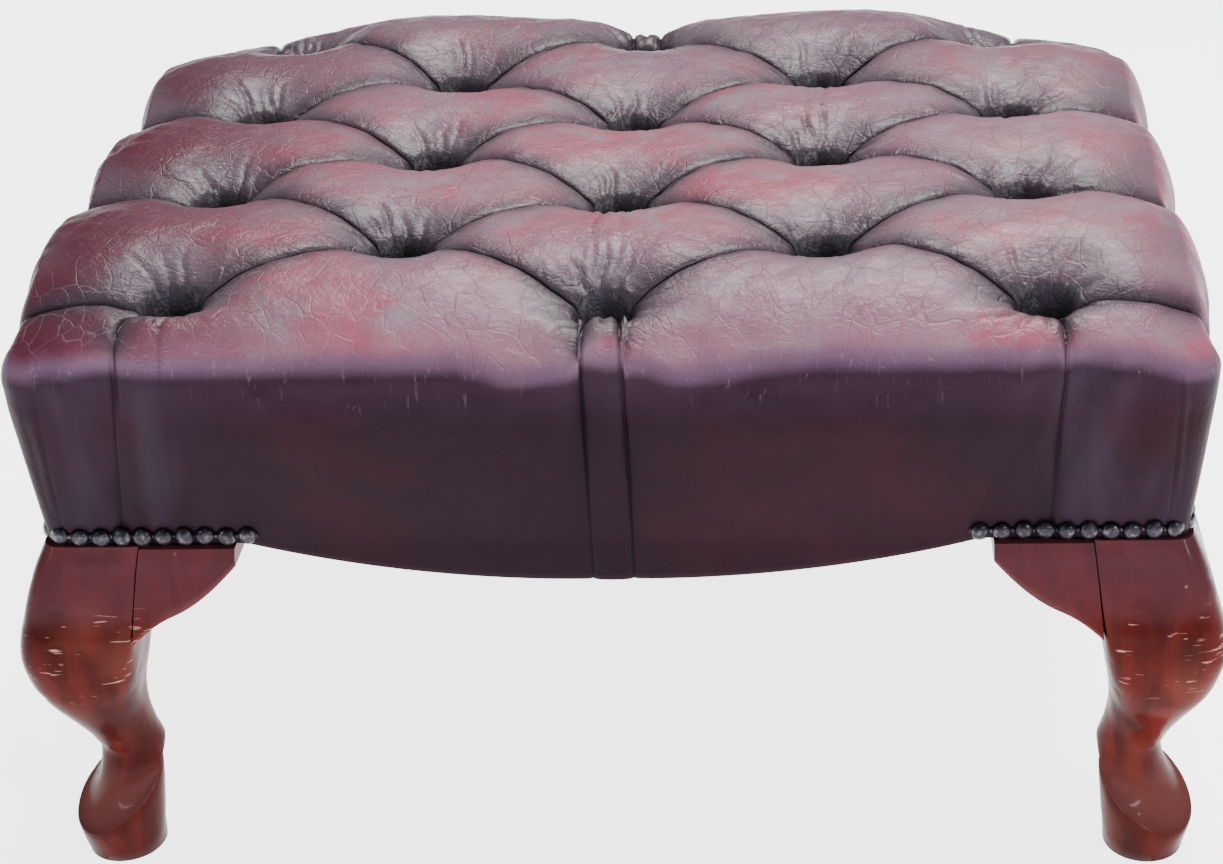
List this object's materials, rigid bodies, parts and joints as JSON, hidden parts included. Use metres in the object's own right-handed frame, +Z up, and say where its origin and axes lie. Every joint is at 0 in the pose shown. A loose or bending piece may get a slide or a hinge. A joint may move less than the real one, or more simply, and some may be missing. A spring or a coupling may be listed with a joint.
{
  "type": "buttoned footstool",
  "caption": "Rectangular deep-buttoned leather footstool on short cabriole legs, with curved aprons and domed nail trim at the corners.",
  "frame": {"origin": "on the floor, under the middle of the stool", "axes": "+X along the stool's long side, to the right as seen from the front; +Y from the front to the back; +Z up"},
  "size_m": [0.637, 0.487, 0.3435],
  "materials": {
    "leather": "gloss",
    "button_leather": "satin",
    "leg_wood": "gloss",
    "ear_wood": "gloss",
    "rail_wood": "matte",
    "block_wood": "matte",
    "plywood": "matte",
    "foam": "matte",
    "wadding": "matte",
    "dust_cloth": "matte",
    "screw_steel": "satin",
    "nail_metal": "gloss"
  },
  "bodies": {
    "root": {"leather_cover": "leather", "wadding": "wadding", "foam_pad": "foam", "seat_board": "plywood", "dust_cover": "dust_cloth", "button_01": "button_leather", "button_02": "button_leather", "button_03": "button_leather", "button_04": "button_leather", "button_05": "button_leather", "button_06": "button_leather", "button_07": "button_leather", "button_08": "button_leather", "button_09": "button_leather", "button_10": "button_leather", "button_11": "button_leather", "button_12": "button_leather", "button_13": "button_leather", "button_14": "button_leather", "button_15": "button_leather", "button_16": "button_leather", "button_17": "button_leather", "button_18": "button_leather", "front_rail": "rail_wood", "back_rail": "rail_wood", "left_rail": "rail_wood", "right_rail": "rail_wood", "leg_front_left": "leg_wood", "ear_front_left_front": "ear_wood", "ear_front_left_side": "ear_wood", "corner_block_front_left": "block_wood", "screw_front_left_front": "screw_steel", "screw_front_left_side": "screw_steel", "nail_trim_front_left": "nail_metal", "leg_front_right": "leg_wood", "ear_front_right_front": "ear_wood", "ear_front_right_side": "ear_wood", "corner_block_front_right": "block_wood", "screw_front_right_front": "screw_steel", "screw_front_right_side": "screw_steel", "nail_trim_front_right": "nail_metal", "leg_back_left": "leg_wood", "ear_back_left_back": "ear_wood", "ear_back_left_side": "ear_wood", "corner_block_back_left": "block_wood", "screw_back_left_back": "screw_steel", "screw_back_left_side": "screw_steel", "nail_trim_back_left": "nail_metal", "leg_back_right": "leg_wood", "ear_back_right_back": "ear_wood", "ear_back_right_side": "ear_wood", "corner_block_back_right": "block_wood", "screw_back_right_back": "screw_steel", "screw_back_right_side": "screw_steel", "nail_trim_back_right": "nail_metal"}
  },
  "joints": []
}
